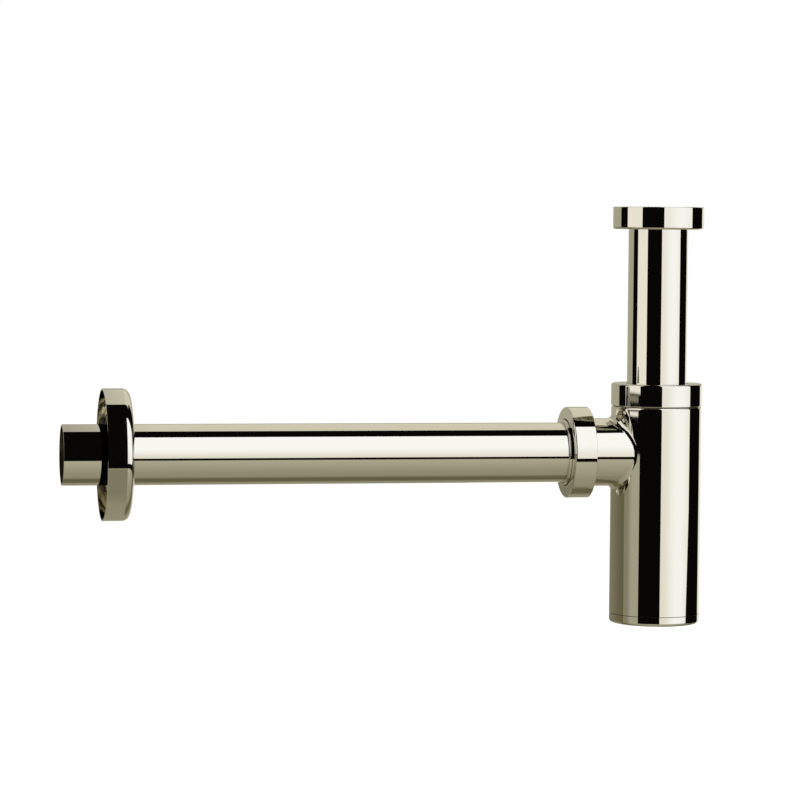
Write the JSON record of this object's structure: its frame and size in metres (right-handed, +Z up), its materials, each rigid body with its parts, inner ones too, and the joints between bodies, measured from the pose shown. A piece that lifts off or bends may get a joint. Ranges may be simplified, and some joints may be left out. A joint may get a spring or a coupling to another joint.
{
  "type": "bottle trap",
  "caption": "Round bottle trap for a wash basin in polished nickel: threaded basin nut, dip tube, bottle with screw-off cap, outlet pipe and wall rosette.",
  "frame": {"origin": "centre of the basin nut's open rim, where the basin waste screws in", "axes": "+Z up along the bottle's axis, the outlet pipe runs to the wall along -X"},
  "size_m": [0.3437, 0.0692, 0.2235],
  "materials": {
    "nickel": "polished",
    "bare_brass": "satin",
    "rubber": "matte"
  },
  "bodies": {
    "basin_nut": {"basin_union_nut": "nickel"},
    "inlet_ring": {"inlet_slip_ring": "bare_brass"},
    "inlet": {"inlet_tube": "nickel", "basin_washer": "rubber"},
    "seal_on_tube": {"bottle_seal": "rubber"},
    "bottle": {"bottle_body": "nickel", "outlet_seal": "rubber"},
    "bottle_ring": {"bottle_slip_ring": "bare_brass"},
    "bottle_union": {"bottle_nut": "nickel"},
    "outlet_ring": {"outlet_slip_ring": "nickel"},
    "outlet_union": {"outlet_nut": "nickel"},
    "washer_on_cap": {"cap_washer": "rubber"},
    "cap": {"cleaning_cap": "nickel"},
    "pipe": {"outlet_pipe": "nickel"},
    "rosette": {"wall_rosette": "nickel", "rosette_grip_ring": "rubber"}
  },
  "joints": [
    {"name": "inlet_swivel", "type": "hinge", "parent": "basin_nut", "child": "inlet_ring", "pos_m": [0, 0, 0], "axis": [0, 0, 1], "continuous": true},
    {"name": "nut_slides_on_tube", "type": "slide", "parent": "inlet_ring", "child": "inlet", "axis": [0, 0, 1], "range_m": [0, 0.06]},
    {"name": "bottle_height", "type": "slide", "parent": "inlet", "child": "seal_on_tube", "axis": [0, 0, 1], "range_m": [-0.03, 0.008]},
    {"name": "bottle_swivel", "type": "hinge", "parent": "seal_on_tube", "child": "bottle", "pos_m": [0, 0, -0.0988], "axis": [0, 0, 1], "range_deg": [-180, 180]},
    {"name": "bottle_nut_rise", "type": "slide", "parent": "bottle", "child": "bottle_ring", "axis": [0, 0, 1], "range_m": [0, 0.00693]},
    {"name": "bottle_nut_turn", "type": "hinge", "parent": "bottle_ring", "child": "bottle_union", "pos_m": [0, 0, -0.1], "axis": [0, 0, 1], "range_deg": [0, 1080]},
    {"name": "outlet_nut_rise", "type": "slide", "parent": "bottle", "child": "outlet_ring", "axis": [-1, 0, 0], "range_m": [0, 0.00693]},
    {"name": "outlet_nut_turn", "type": "hinge", "parent": "outlet_ring", "child": "outlet_union", "pos_m": [-0.045, 0, -0.1317], "axis": [-1, 0, 0], "range_deg": [0, 1080]},
    {"name": "cap_drop", "type": "slide", "parent": "bottle", "child": "washer_on_cap", "axis": [0, 0, -1], "range_m": [0, 0.0075]},
    {"name": "cap_turn", "type": "hinge", "parent": "washer_on_cap", "child": "cap", "pos_m": [0, 0, -0.2186], "axis": [0, 0, -1], "range_deg": [0, 1800]},
    {"name": "pipe_reach", "type": "slide", "parent": "bottle", "child": "pipe", "axis": [-1, 0, 0], "range_m": [-0.002, 0.01]},
    {"name": "rosette_slide", "type": "slide", "parent": "pipe", "child": "rosette", "axis": [-1, 0, 0], "range_m": [-0.2, 0.018]}
  ],
  "couplings": [
    {"joint": "bottle_nut_rise", "follows": "bottle_nut_turn", "m_per_rad": 0.00036749},
    {"joint": "outlet_nut_rise", "follows": "outlet_nut_turn", "m_per_rad": 0.00036749},
    {"joint": "cap_drop", "follows": "cap_turn", "m_per_rad": 0.00023873}
  ]
}
